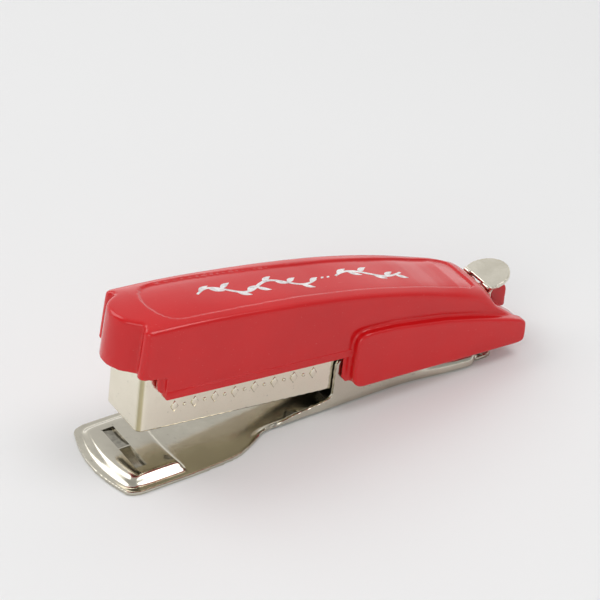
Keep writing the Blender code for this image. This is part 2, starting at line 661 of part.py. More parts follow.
def make_recess():
    """The sunk panel on the deck, round at its front and open to the rear rim."""
    bm = bmesh.new()
    rows = []
    stations = [6.9, 7.0, 7.25, 7.7, 8.4, 9.4, 10.8, 12.5, 16, 20, 24, 28, 34, 40, 47, 53, 58, 62, 65, 68, 70.0,
                71.2, 71.7]
    for u in stations:
        front = min((u - 6.88) / 5.6, 1.0)
        width = (6.0 - 0.75 * smoothstep(14, 40, u)) * math.sqrt(max(1 - (1 - front) ** 2.6, 0.0))
        if u > 70:
            width -= 0.9 * (u - 70) / 1.7
        shares = [-1.0, -0.5, 0.0, 0.5, 1.0]
        low = [(u, width * s, deck(u, width * s, RECESS_DEPTH)) for s in shares]
        high = [(u, width * s, deck(u, 0.0) + 2.5) for s in reversed(shares)]
        rows.append([bm.verts.new(shift(point, "cutter")) for point in low + high])
    grid_faces(bm, rows, close=True)
    bm.faces.new(rows[0])
    bm.faces.new(rows[-1])
    return from_bmesh("deck_recess", bm, "cutter")


WING = [(44.85, 5.2), (44.95, 4.3), (45.3, 3.4), (45.9, 2.7), (46.8, 2.4), (58.8, 3.06), (69.4, 3.57),
        (79.6, 4.15), (80.6, 4.35), (81.05, 4.7), (81.25, 5.3), (81.15, 7.5), (81.0, 8.4), (80.5, 8.85),
        (78.3, 9.55), (70.3, 11.25), (63.5, 12.4), (53.0, 13.35), (47.2, 13.3), (46.2, 13.1), (45.5, 12.7),
        (45.05, 12.1), (44.85, 11.2)]


def make_cover():
    cover = make_cover_outer()
    skirt = [(-6, -6), (-6, 13.1), (3.0, 12.95), (6.9, 12.6), (7.5, 12.55), (8.1, 12.4), (8.1, 8.25),
             (8.25, 8.1), (41.7, 8.4), (46.0, 8.5), (46.0, 5.0), (48.0, 3.9), (58.8, 4.3),
             (69.4, 4.8), (80.4, 5.4), (80.9, 5.8), (92, 5.8), (92, -6)]
    cuts = [flat("skirt_cut", skirt, (-13, 13), "uv", "cutter"), make_cavity()]
    boolean(cover, "DIFFERENCE", cuts)
    wings, ribs, holes = [], [], []
    for side, word in ((1, "left"), (-1, "right")):
        wings.append(soft_slab(f"wing_{word}", WING, side * 7.2, side * WING_HALF, 0.5, "cutter"))
        ribs.append(flat(f"front_rib_{word}", [(6.95, 14.0), (6.95, 10.4), (7.15, 9.6), (7.6, 9.05),
                                               (8.1, 8.9), (11.0, 9.2), (11.0, 14.0)],
                         (side * 6.12, side * 7.1), "uv", "cutter"))
        ribs.append(flat(f"rear_rib_{word}", [(43.5, 11.0), (43.5, 4.2), (44.4, 3.15), (48.0, 3.25),
                                              (48.0, 11.0)], (side * 7.02, side * 7.5), "uv", "cutter"))
        centre = (PIVOT_U, 0, PIVOT_V)
        span = [(side * 6.5, 0), (side * 6.5, STUD_R + GAP), (side * 8.5, STUD_R + GAP), (side * 8.5, 0)]
        holes.append(turned(f"wing_hole_{word}", span, "y", centre, "cutter"))
    boolean(cover, "UNION", wings + ribs)
    tail = block("tail_opening", (74.9, -4.2, -6), (95, 4.2, 25), "cutter")
    boolean(cover, "DIFFERENCE", [tail])
    fin_line = [(72.0, 12.0), (72.0, 9.6), (74.5, 8.7), (81.3, 7.5), (81.45, 7.9), (81.35, 11.1), (81.1, 11.75),
                (80.6, 12.2), (79.9, 12.35), (79.0, 12.1), (77.8, 11.5), (76.4, 11.5), (75.3, 11.9),
                (75.15, 13.2), (74.6, 13.6), (73.6, 12.6)]
    fin = flat("tail_fin", fin_line, (-1.6, 1.6), "uv", "cutter", smooth=30)
    boolean(cover, "UNION", [fin])
    boolean(cover, "DIFFERENCE", [make_recess()] + holes)
    rivet_holes = []
    for word, u in (("front", 16.0), ("rear", 44.0)):
        roof = smooth_table(SIDE_EDGE, u) - DECK_T
        rivet_holes.append(turned(f"deck_hole_{word}", [(roof - 2 - PIVOT_V, 0), (roof - 2 - PIVOT_V, 1.2),
                                                        (roof + 0.75 - PIVOT_V, 1.2),
                                                        (roof + 0.75 - PIVOT_V, 0)], "v", (u, 0, PIVOT_V),
                                  "cutter", steps=16))
    boolean(cover, "DIFFERENCE", rivet_holes)


def make_handle_plate():
    line = [(u, smooth_table(SIDE_EDGE, u) - DECK_T - GAP) for u in (6.5, 12, 18, 25, 32, 39, 46, 52, 56)]
    upper = [(u, v) for u, v in line]
    lower = [(u, v - 0.8) for u, v in reversed(line)]
    plate = flat("handle_plate", upper + lower, (-4.9, 4.9), "uv", "upper", STEEL, smooth=40)
    holes = []
    for word, u in (("front", 16.0), ("rear", 44.0)):
        under = smooth_table(SIDE_EDGE, u) - DECK_T - GAP - 0.8 - PIVOT_V
        spot = (u, 0, PIVOT_V)
        holes.append(turned(f"handle_hole_{word}", [(under - 2, 0), (under - 2, 1.2), (under + 2.2, 1.2),
                                                    (under + 2.2, 0)], "v", spot, "cutter", steps=16))
        turned(f"handle_rivet_{word}", [(under - 1.0, 0), (under - 0.95, 1.0), (under - 0.75, 1.6),
                                        (under - 0.45, 1.7), (under - 0.45, 0.9), (under + 1.5, 0.9),
                                        (under + 1.5, 0)], "v", spot, "upper", STEEL, steps=20)
    boolean(plate, "DIFFERENCE", holes)


# ---------------------------------------------------------------- build

for old in list(bpy.data.objects):
    bpy.data.objects.remove(old)

PARTS = bpy.data.collections.new("pocket_stapler")
CUTTERS = bpy.data.collections.new("cutters")
bpy.context.scene.collection.children.link(PARTS)
bpy.context.scene.collection.children.link(CUTTERS)
CUTTERS.hide_render = True

NICKEL = material("nickel_plate", (0.72, 0.70, 0.66), 0.22, 1.0)
STEEL = material("bright_steel", (0.60, 0.60, 0.60), 0.35, 1.0)
SPRING_STEEL = material("spring_steel", (0.36, 0.37, 0.39), 0.38, 1.0)
RED = material("red_plastic", (0.60, 0.02, 0.025), 0.25)

UPPER = bpy.data.objects.new("pivot_axis", None)
UPPER.location = ((PIVOT_U - CENTRE_U) * MM, 0, PIVOT_V * MM)
UPPER.rotation_euler = (0, math.radians(REST_TILT), 0)
PARTS.objects.link(UPPER)

make_base_plate()
make_base_fittings()
make_channel()
make_rail()
make_spring_bridge()
make_driver()
make_pusher()
make_tab(make_rod())
make_cover()
make_handle_plate()
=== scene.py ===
"""Looks of the pocket stapler: fine meshes and finishes for the pieces that show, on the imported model.

Drawn coordinates are (u, y, v) in millimetres: u along the length, rising from the nose to the tail, v up
from the table. The upper half is drawn as it lies when the stapler is flat, and `spot` tilts it
about the pivot pin to where it rests."""

import math

import bmesh
import bpy
from mathutils import Matrix, Vector


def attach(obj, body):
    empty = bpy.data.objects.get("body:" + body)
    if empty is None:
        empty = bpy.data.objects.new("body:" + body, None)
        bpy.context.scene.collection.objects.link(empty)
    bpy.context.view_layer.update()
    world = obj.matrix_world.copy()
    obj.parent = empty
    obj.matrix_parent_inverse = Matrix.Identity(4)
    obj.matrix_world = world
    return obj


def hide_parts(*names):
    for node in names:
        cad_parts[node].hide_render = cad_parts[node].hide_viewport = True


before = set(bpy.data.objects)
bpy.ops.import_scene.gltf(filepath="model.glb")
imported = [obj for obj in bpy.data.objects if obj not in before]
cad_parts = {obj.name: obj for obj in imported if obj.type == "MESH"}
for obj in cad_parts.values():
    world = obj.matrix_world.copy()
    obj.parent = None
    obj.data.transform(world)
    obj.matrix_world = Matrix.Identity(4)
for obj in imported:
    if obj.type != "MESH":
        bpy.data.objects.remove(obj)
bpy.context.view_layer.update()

MM = 0.001
GAP = 0.3  # clearance round pins, rivets and the rod
CENTRE_U = 40.35
PIVOT_U, PIVOT_V = 68.0, 6.0
REST_TILT = math.radians(6.74)

SHEET, ANVIL_TOP = 0.7, 2.0
PADDLE_HALF, PADDLE_END = 11.1, 12.0
POCKET_ALONG = (3.55, 5.75)
POCKET = [(0.15, 0.1), (1.2, 0.32), (2.6, 0.5), (4.2, 0.6), (5.6, 0.56), (6.25, 0.46)]
EAR_OUT, EAR_TOP = 6.75, 10.6
STUD_R, RIVET_HOLE_R = 1.4, 1.3
CHANNEL_HALF, CHANNEL_WALL = 5.78, 0.7
NOSE_U, NOSE_R = 4.4, 1.3
CHANNEL_FLOOR, CHANNEL_REAR_FLOOR, CHANNEL_END = 1.1, 2.6, 76.0
ROD_V, ROD_R = 5.6, 0.8
TAB_U, TAB_V, TAB_PITCH, TAB_R, TAB_SET, TAB_T = 75.6, 13.775, 17.0, 4.38, 1.83, 0.7
SKIRT_INNER_FRONT, SKIRT_INNER_REAR = 6.2, 7.05
DECK_T, RECESS_DEPTH, WING_HALF, EDGE_R = 1.2, 0.4, 9.3, 0.7

COVER_VOXEL, SHEET_VOXEL, TAB_VOXEL = 0.21, 0.21, 0.14


# ---------------------------------------------------------------- numbers

def lerp_table(table, x):
    if x <= table[0][0]:
        return table[0][1]
    for (x0, y0), (x1, y1) in zip(table, table[1:]):
        if x <= x1:
            return y0 + (y1 - y0) * (x - x0) / (x1 - x0)
    return table[-1][1]


def smooth_table(table, x):
    """Catmull-Rom through the table's points."""
    if x <= table[0][0]:
        return table[0][1]
    if x >= table[-1][0]:
        return table[-1][1]
    i = max(k for k in range(len(table) - 1) if table[k][0] <= x)

    def slope(k):
        a, b = max(k - 1, 0), min(k + 1, len(table) - 1)
        return (table[b][1] - table[a][1]) / (table[b][0] - table[a][0])

    (x0, y0), (x1, y1) = table[i], table[i + 1]
    w, t = x1 - x0, (x - x0) / (x1 - x0)
    return ((2 * t**3 - 3 * t**2 + 1) * y0 + (t**3 - 2 * t**2 + t) * w * slope(i)
            + (3 * t**2 - 2 * t**3) * y1 + (t**3 - t**2) * w * slope(i + 1))


def smoothstep(low, high, x):
    t = min(max((x - low) / (high - low), 0.0), 1.0)
    return t * t * (3 - 2 * t)


def arc(cx, cy, r, start, end, count):
    """Points on a circle, angles in degrees."""
    angles = [math.radians(start + (end - start) * k / count) for k in range(count + 1)]
    return [(cx + r * math.cos(a), cy + r * math.sin(a)) for a in angles]


def spot(point, where):
    """A drawn point's place in the frame, in metres."""
    u, y, v = point
    if where == "base":
        return Vector(((u - CENTRE_U) * MM, y * MM, v * MM))
    du, dv = u - PIVOT_U, v - PIVOT_V
    cos, sin = math.cos(REST_TILT), math.sin(REST_TILT)
    along, up = PIVOT_U - CENTRE_U + du * cos + dv * sin, PIVOT_V - du * sin + dv * cos
    return Vector((along * MM, y * MM, up * MM))


# ---------------------------------------------------------------- mesh helpers

def from_bmesh(name, bm):
    bmesh.ops.recalc_face_normals(bm, faces=bm.faces)
    if all(edge.is_manifold for edge in bm.edges) and bm.calc_volume(signed=True) < 0:
        bmesh.ops.reverse_faces(bm, faces=bm.faces)
    mesh = bpy.data.meshes.new(name)
    bm.to_mesh(mesh)
    bm.free()
    obj = bpy.data.objects.new(name, mesh)
    bpy.context.scene.collection.objects.link(obj)
    return obj


def grid_faces(bm, rows, close=False):
    for a, b in zip(rows, rows[1:]):
        count = len(a)
        for k in range(count if close else count - 1):
            n = (k + 1) % count
            unique = []
            for vert in (a[k], a[n], b[n], b[k]):
                if vert not in unique:
                    unique.append(vert)
            if len(unique) > 2:
                bm.faces.new(unique)


def closed_rings(name, rings, where):
    """A solid lofted through rings of drawn points, capped at both ends."""
    bm = bmesh.new()
    rows = [[bm.verts.new(spot(point, where)) for point in ring] for ring in rings]
    grid_faces(bm, rows, close=True)
    bm.faces.new(rows[0])
    bm.faces.new(rows[-1])
    return from_bmesh(name, bm)


def prism(name, outline, depth, plane, where):
    """An outline swept from depth[0] to depth[1]: 'uv' sweeps along y, 'uy' along v."""
    order = {"uv": lambda a, b, c: (a, c, b), "uy": lambda a, b, c: (a, b, c)}[plane]
    return closed_rings(name, [[order(a, b, c) for a, b in outline] for c in depth], where)


def block(name, low, high, where):
    outline = [(low[0], low[1]), (high[0], low[1]), (high[0], high[1]), (low[0], high[1])]
    return prism(name, outline, (low[2], high[2]), "uy", where)


def turned(name, profile, axis, centre, where, steps=48):
    """A turned solid. profile: (along, radius) from one end of the axis to the other."""
    rings = []
    for along, r in profile:
        ring = []
        for k in range(steps):
            a = 2 * math.pi * k / steps
            c, s = max(r, 0.01) * math.cos(a), max(r, 0.01) * math.sin(a)
            offset = {"y": (c, along, s), "v": (c, s, along), "u": (along, c, s)}[axis]
            ring.append(tuple(centre[i] + offset[i] for i in range(3)))
        rings.append(ring)
    return closed_rings(name, rings, where)


def settle(obj):
    """Gives the object the mesh that its modifiers make."""
    graph = bpy.context.evaluated_depsgraph_get()
    mesh = bpy.data.meshes.new_from_object(obj.evaluated_get(graph))
    obj.modifiers.clear()
    obj.data = mesh
    return obj


def boolean(obj, kind, others):
    for other in others:
        mod = obj.modifiers.new(kind, "BOOLEAN")
        mod.operation = kind
        mod.solver = "EXACT"
        mod.object = other
    settle(obj)
    for other in others:
        bpy.data.objects.remove(other)


def subdivide(obj, levels):
    mod = obj.modifiers.new("Subdivision", "SUBSURF")
    mod.levels = mod.render_levels = levels
    mod.boundary_smooth = "PRESERVE_CORNERS"
    settle(obj)


def soften(obj, voxel, passes, keep=1.0):
    """Even small faces all over, every edge slightly rounded, as pressed and moulded pieces have them."""
    remesh = obj.modifiers.new("Remesh", "REMESH")
    remesh.mode = "VOXEL"
    remesh.voxel_size = voxel * MM
    remesh.use_smooth_shade = True
    smooth = obj.modifiers.new("Smooth", "SMOOTH")
    smooth.factor, smooth.iterations = 0.5, passes
    if keep < 1.0:
        thin = obj.modifiers.new("Thin", "DECIMATE")
        thin.ratio = keep
    settle(obj)
    obj.data.shade_smooth()


def drawn_in(outline, inset):
    """The outline, counter-clockwise, moved inwards square to its edges."""
    moved = []
    for before, here, after in zip(outline[-1:] + outline[:-1], outline, outline[1:] + outline[:1]):
        a = (here[0] - before[0], here[1] - before[1])
        b = (after[0] - here[0], after[1] - here[1])
        na = (-a[1] / math.hypot(*a), a[0] / math.hypot(*a))
        nb = (-b[1] / math.hypot(*b), b[0] / math.hypot(*b))
        scale = inset / max(1 + na[0] * nb[0] + na[1] * nb[1], 0.4)
        moved.append((here[0] + (na[0] + nb[0]) * scale, here[1] + (na[1] + nb[1]) * scale))
    return moved


def rounded_outline(points, passes=2):
    """Chaikin corner cutting that keeps long edges straight and turns tight corners round."""
    for _ in range(passes):
        cut = []
        for (a, b), (c, d) in zip(points, points[1:] + points[:1]):
            length = math.hypot(c - a, d - b)
            share = min(0.25, 0.5 / max(length, 1e-6))
            cut.append((a + (c - a) * share, b + (d - b) * share))
            cut.append((c - (c - a) * share, d - (d - b) * share))
        points = cut
    return points


# ---------------------------------------------------------------- finishes

def nodes_of(name):
    made = bpy.data.materials.new(name)
    made.use_nodes = True
    tree = made.node_tree
    return made, tree, tree.nodes["Principled BSDF"]


def coordinates(tree, stretch=(1, 1, 1)):
    place = tree.nodes.new("ShaderNodeTexCoord")
    mapping = tree.nodes.new("ShaderNodeMapping")
    mapping.inputs["Scale"].default_value = stretch
    tree.links.new(place.outputs["Object"], mapping.inputs["Vector"])
    return mapping.outputs["Vector"]


def noise(tree, scale, detail=4.0, roughness=0.55, stretch=(1, 1, 1), distortion=0.0):
    node = tree.nodes.new("ShaderNodeTexNoise")
    node.inputs["Scale"].default_value = scale
    node.inputs["Detail"].default_value = detail
    node.inputs["Roughness"].default_value = roughness
    node.inputs["Distortion"].default_value = distortion
    tree.links.new(coordinates(tree, stretch), node.inputs["Vector"])
    return node.outputs["Fac"]


def ramp(tree, value, stops):
    node = tree.nodes.new("ShaderNodeValToRGB")
    band = node.color_ramp
    while len(band.elements) < len(stops):
        band.elements.new(0.5)
    for element, (place, colour) in zip(band.elements, stops):
        element.position = place
        element.color = (*colour, 1.0) if isinstance(colour, tuple) else (colour, colour, colour, 1.0)
    tree.links.new(value, node.inputs["Fac"])
    return node.outputs["Color"]


def mixed(tree, kind, share, first, second):
    """kind: MIX, MULTIPLY, ADD... first and second are colours or sockets."""
    node = tree.nodes.new("ShaderNodeMix")
    node.data_type = "RGBA"
    node.blend_type = kind
    for socket, value in ((node.inputs[0], share), (node.inputs[6], first), (node.inputs[7], second)):
        if isinstance(value, (int, float)):
            socket.default_value = value
        elif isinstance(value, tuple):
            socket.default_value = (*value, 1.0)
        else:
            tree.links.new(value, socket)
    return node.outputs[2]


def maths(tree, kind, first, second=0.0):
    node = tree.nodes.new("ShaderNodeMath")
    node.operation = kind
    for socket, value in zip(node.inputs, (first, second)):
        if isinstance(value, (int, float)):
            socket.default_value = value
        else:
            tree.links.new(value, socket)
    return node.outputs[0]


def bump(tree, height, strength, distance, under=None):
    node = tree.nodes.new("ShaderNodeBump")
    node.inputs["Strength"].default_value = strength
    node.inputs["Distance"].default_value = distance
    tree.links.new(height, node.inputs["Height"])
    if under:
        tree.links.new(under, node.inputs["Normal"])
    return node.outputs["Normal"]


def split_vector(tree, output):
    """X, Y and Z sockets of one of the Texture Coordinate node's outputs."""
    place = tree.nodes.new("ShaderNodeTexCoord")
    split = tree.nodes.new("ShaderNodeSeparateXYZ")
    tree.links.new(place.outputs[output], split.inputs[0])
    return split.outputs


def scratches(tree, scale, stretch, low, high):
    """Thin hairlines: the crests of a long stretched noise."""
    return ramp(tree, noise(tree, scale, 2.0, 0.5, stretch, 0.4), [(low, 0.0), (high, 1.0)])


def red_plastic():
    """Glossy moulded plastic with fine hairlines and specks of wear."""
    made, tree, shader = nodes_of("glossy_red_plastic")
    clouds = noise(tree, 60.0, 3.0)
    grain = noise(tree, 900.0, 4.0)
    colour = ramp(tree, clouds, [(0.3, (0.56, 0.004, 0.006)), (0.7, (0.62, 0.006, 0.008))])
    hair = scratches(tree, 60.0, (0.12, 14.0, 14.0), 0.71, 0.75)
    specks = ramp(tree, noise(tree, 2600.0, 1.0), [(0.72, 0.0), (0.78, 1.0)])
    colour = mixed(tree, "MIX", maths(tree, "MULTIPLY", hair, 0.10), colour, (0.85, 0.25, 0.25))
    colour = mixed(tree, "MIX", maths(tree, "MULTIPLY", specks, 0.07), colour, (0.9, 0.45, 0.45))
    tree.links.new(colour, shader.inputs["Base Color"])
    rough = ramp(tree, clouds, [(0.25, 0.14), (0.8, 0.21)])
    rough = mixed(tree, "ADD", maths(tree, "MULTIPLY", hair, 0.5), rough, (0.06, 0.06, 0.06))
    tree.links.new(rough, shader.inputs["Roughness"])
    shader.inputs["IOR"].default_value = 1.47
    shader.inputs["Coat Weight"].default_value = 0.12
    shader.inputs["Coat Roughness"].default_value = 0.08
    shader.inputs["Subsurface Weight"].default_value = 0.04
    shader.inputs["Subsurface Radius"].default_value = (0.0012, 0.0003, 0.0002)
    normal = bump(tree, noise(tree, 90.0, 1.0), 0.03, 0.0006)
    normal = bump(tree, grain, 0.03, 0.00004, normal)
    normal = bump(tree, hair, 0.06, 0.00002, normal)
    tree.links.new(normal, shader.inputs["Normal"])
    return made


def painted_nose_reflection(tree, colour):
    """Painted reflection: the plating coloured olive-dark in bands on faces turned partly towards -X, round the
    nose's upright bend, standing in for the dark surroundings the curved nose reflects.
    """
    normal_x = split_vector(tree, "Normal")["X"]
    facing = maths(tree, "ADD", maths(tree, "MULTIPLY", normal_x, 0.5), 0.5)
    tint = ramp(tree, facing, [
        (0.0, (1.0, 1.0, 1.0)), (0.02, (0.90, 0.89, 0.85)), (0.09, (0.52, 0.49, 0.36)),
        (0.22, (0.62, 0.58, 0.42)), (0.34, (1.0, 0.99, 0.96)), (0.46, (1.0, 1.0, 1.0))])
    return mixed(tree, "MULTIPLY", 1.0, colour, tint)


def painted_pocket_shade(tree, colour):
    """Painted shade: near-black colour low in each anvil pocket, broken up by noise, standing in for the shade
    that falls there.
    """
    place = split_vector(tree, "Object")
    front, back = (POCKET_ALONG[0] - 0.15 - CENTRE_U) * MM, (POCKET_ALONG[1] + 0.15 - CENTRE_U) * MM
    bounds = [maths(tree, "GREATER_THAN", place["X"], front),
              maths(tree, "LESS_THAN", place["X"], back),
              maths(tree, "LESS_THAN", maths(tree, "ABSOLUTE", place["Y"]), (POCKET[-1][0] + 0.15) * MM),
              maths(tree, "LESS_THAN", place["Z"], (ANVIL_TOP - 0.06) * MM),
              maths(tree, "GREATER_THAN", place["Z"], (SHEET + 0.65) * MM)]
    mask = bounds[0]
    for bound in bounds[1:]:
        mask = maths(tree, "MULTIPLY", mask, bound)
    spots = ramp(tree, noise(tree, 900.0, 3.0), [(0.3, 0.45), (0.7, 0.8)])
    return mixed(tree, "MIX", maths(tree, "MULTIPLY", mask, spots), colour, (0.10, 0.09, 0.07))


def nickel(name, dull, bright, stain, grain_stretch, nose_reflection=False, pocket_shade=False):
    """Nickel plate over pressed steel: warm grey, cloudy, with rolling lines, hairlines, pits and stains;
    optionally with a painted reflection round the nose's bend and painted shade low in the anvil hollows.
    """
    made, tree, shader = nodes_of(name)
    clouds = noise(tree, 55.0, 5.0, 0.6)
    blotches = ramp(tree, noise(tree, 120.0, 6.0, 0.7, (1, 1, 1), 0.6), [(0.52, 0.0), (0.74, 1.0)])
    lines = noise(tree, 420.0, 3.0, 0.5, grain_stretch)
    hair = scratches(tree, 60.0, tuple(4.0 * k for k in grain_stretch), 0.66, 0.72)
    colour = ramp(tree, clouds, [(0.25, dull), (0.75, bright)])
    colour = mixed(tree, "MIX", maths(tree, "MULTIPLY", blotches, 0.35), colour, stain)
    pits = ramp(tree, noise(tree, 1700.0, 2.0), [(0.68, 0.0), (0.74, 1.0)])
    colour = mixed(tree, "MIX", maths(tree, "MULTIPLY", pits, 0.5), colour, tuple(0.45 * k for k in dull))
    # Painted light, when asked for: olive painted reflection round the nose's bend, and near-black painted
    # shade in the anvil hollows.
    if nose_reflection:
        colour = painted_nose_reflection(tree, colour)
    if pocket_shade:
        colour = painted_pocket_shade(tree, colour)
    tree.links.new(colour, shader.inputs["Base Color"])
    shader.inputs["Metallic"].default_value = 1.0
    rough = ramp(tree, clouds, [(0.2, 0.10), (0.8, 0.17)])
    rough = mixed(tree, "ADD", maths(tree, "MULTIPLY", blotches, 0.6), rough, (0.08, 0.08, 0.08))
    rough = mixed(tree, "ADD", maths(tree, "MULTIPLY", hair, 0.5), rough, (0.06, 0.06, 0.06))
    tree.links.new(rough, shader.inputs["Roughness"])
    normal = bump(tree, noise(tree, 160.0, 3.0), 0.10, 0.0004)
    normal = bump(tree, lines, 0.06, 0.00005, normal)
    normal = bump(tree, hair, 0.15, 0.00003, normal)
    tree.links.new(normal, shader.inputs["Normal"])
    return made


def plain_steel(name, colour, roughness, stretch):
    """Unplated steel inside the stapler: greyer and rougher, with rolling lines."""
    made, tree, shader = nodes_of(name)
    clouds = noise(tree, 140.0, 5.0, 0.65)
    lines = noise(tree, 700.0, 3.0, 0.5, stretch)
    dark = tuple(0.72 * k for k in colour)
    tree.links.new(ramp(tree, clouds, [(0.3, dark), (0.72, colour)]), shader.inputs["Base Color"])
    shader.inputs["Metallic"].default_value = 1.0
    rough = ramp(tree, lines, [(0.25, roughness - 0.07), (0.75, roughness + 0.1)])
    tree.links.new(rough, shader.inputs["Roughness"])
    tree.links.new(bump(tree, lines, 0.15, 0.00006), shader.inputs["Normal"])
    return made


def silver_foil():
    """Hot-stamped silver, worn thin in spots."""
    made, tree, shader = nodes_of("hot_stamped_foil")
    worn = noise(tree, 900.0, 4.0, 0.7)
    tree.links.new(ramp(tree, worn, [(0.35, (0.62, 0.58, 0.58)), (0.6, (0.95, 0.94, 0.93))]),
                   shader.inputs["Base Color"])
    shader.inputs["Metallic"].default_value = 0.55
    tree.links.new(ramp(tree, worn, [(0.3, 0.5), (0.7, 0.28)]), shader.inputs["Roughness"])
    tree.links.new(bump(tree, worn, 0.2, 0.00003), shader.inputs["Normal"])
    return made


def paper_floor():
    made, tree, shader = nodes_of("pale_paper")
    tree.links.new(ramp(tree, noise(tree, 3.0, 3.0), [(0.3, (0.80, 0.80, 0.80)), (0.7, (0.83, 0.83, 0.83))]),
                   shader.inputs["Base Color"])
    shader.inputs["Roughness"].default_value = 0.75
    shader.inputs["Specular IOR Level"].default_value = 0.2
    return made


def finish_as(obj, material):
    obj.data.materials.clear()
    obj.data.materials.append(material)


# ---------------------------------------------------------------- base

# Tables of (u, value) along the base: half width, top of the side flanges.
HALF_WIDTH = [(-2.0, PADDLE_HALF), (10.9, PADDLE_HALF), (16.0, 10.9), (21.0, 10.5), (23.5, 9.4), (27.2, 7.55),
              (29.1, 6.95), (31.5, EAR_OUT), (57.0, EAR_OUT), (66.0, 8.1), (70.3, 8.45), (70.9, 7.9),
              (71.7, 6.95), (74.8, 6.8), (75.8, 6.2), (76.6, 4.6)]
FLANGE_TOP = [(26.0, SHEET), (29.3, 0.95), (31.0, 1.3), (35.1, 2.1), (41.7, 2.6), (42.2, 3.2),
              (42.7, EAR_TOP - 1.0), (43.4, EAR_TOP), (66.0, EAR_TOP), (69.6, 9.8), (70.9, 7.8),
              (71.3, 2.2), (72.2, 1.6), (75.6, 1.3)]
EDGE_STEPS = [0.0, 0.55, 1.1, 1.5, 2.0, 2.6, 3.3]  # a row's outer points, inwards from its edge
INNER_SHARE = [0.66, 0.33, 0.0]
PADDLE_ROWS = [0, 0.55, 0.95, 1.3, 1.65, 2.0, 2.4, 4.5, 8.0]
BODY_ROWS = [10.1, 10.35, 10.6, 10.85, 11.1, 16, 21, 22.5, 24, 25.5, 27.2, 29.1, 31.5, 35.1, 41.7, 42.2, 42.7,
             43.4, 50, 57, 61, 66, 69.6, 70.3, 70.9, 71.3, 71.7, 72.2, 73.2, 74.0, 75.0, 75.8, 76.6]
STEP_BACK = 13.0  # behind the step the sheet is flat
FLARE_FROM = 50.0  # behind this the flange's foot flares out
CORNER_FROM, CORNER_WIDE, CORNER_BACK = 9.2, 1.9, 2.6
FAR = 99.0  # clear of any rounded edge


def front_edge(y):
    """The paddle's bowed front: how far back its edge lies at this y."""
    y = abs(y)
    corner = 0.0
    if y >= CORNER_FROM:
        corner = CORNER_BACK * (1 - math.sqrt(max(0.0, 1 - ((y - CORNER_FROM) / CORNER_WIDE) ** 2)))
    return -2.0 + 0.02 * min(y, CORNER_FROM) ** 2 + corner


def sheet_height(along, back, edge):
    """Top of the paddle: back = distance from the front edge, edge = distance from the side."""
    a = min(max((back - 0.9) / 2.3, 0.0), 1.0)
    b = min(max((edge - 1.1) / 2.2, 0.0), 1.0)
    rise = 1 - min(math.hypot(1 - a, 1 - b), 1.0)
    rise = rise * rise * (3 - 2 * rise)
    rise *= 1 - smoothstep(10.2, 11.0, along)
    return SHEET + (ANVIL_TOP - SHEET) * rise


def bowed(x, y):
    """Where a row at x lies at this y: the step behind the paddle bows the other way from its front."""
    return x + 0.008 * y * y if x < STEP_BACK else x


def sheet_row(x, paddle):
    """Points of the sheet's top from the +Y edge to the -Y edge. paddle: x counts from the bowed front."""
    half = lerp_table(HALF_WIDTH, x)
    upright = smoothstep(24.0, 31.5, x)
    rear = smoothstep(71.3, 72.2, x)
    top = lerp_table(FLANGE_TOP, x)
    flare = max(half - EAR_OUT, 0.0) if x > FLARE_FROM else 0.0
    foot = half - SHEET - flare
    middle, lip = (top + SHEET + 0.6) / 2, SHEET + 0.6
    if x >= FLARE_FROM:
        middle = min(2.3, middle)
        lip = middle - 0.35
    wall = [(foot, top), (foot, middle),
            (foot + flare, lip), (foot + flare - 0.15, SHEET + 0.25), (foot + flare - 0.4, SHEET + 0.06),
            (foot + flare - 0.7, SHEET), (foot + flare - 1.4, SHEET)]
    side = []
    for k, step in enumerate(EDGE_STEPS):
        flat_y = half - step
        if paddle:
            start = front_edge(flat_y)
            along = start + x / PADDLE_END * (PADDLE_END - start)
            side.append((along, flat_y, sheet_height(along, along - start, step)))
            continue
        level = sheet_height(x, FAR, step) if x < STEP_BACK else SHEET
        turn = upright * (1 - rear)
        side.append((bowed(x, flat_y), flat_y + (wall[k][0] - flat_y) * turn,
                     level + (wall[k][1] - level) * turn))
    limit = side[-1][1]
    for share in INNER_SHARE:
        y = limit * share
        if paddle:
            start = front_edge(y)
            along = start + x / PADDLE_END * (PADDLE_END - start)
            side.append((along, y, sheet_height(along, along - start, PADDLE_HALF - y)))
        else:
            side.append((bowed(x, y), y, sheet_height(x, FAR, 9.0) if x < STEP_BACK else SHEET))
    return side + [(u, -y, v) for u, y, v in side[-2::-1]]


def anvil_pocket(side):
    """Cutter for one staple leg's pocket: steep at its outer end, curling up to the middle ridge."""
    rings = []
    for u, share in ((POCKET_ALONG[0], 0.45), (POCKET_ALONG[1], 1.0)):
        low = [(u, side * y, ANVIL_TOP - depth * share) for y, depth in POCKET]
        rings.append(low + [(u, side * 6.3, ANVIL_TOP + 0.5), (u, side * 0.15, ANVIL_TOP + 0.5)])
    return closed_rings("anvil_pocket", rings, "base")


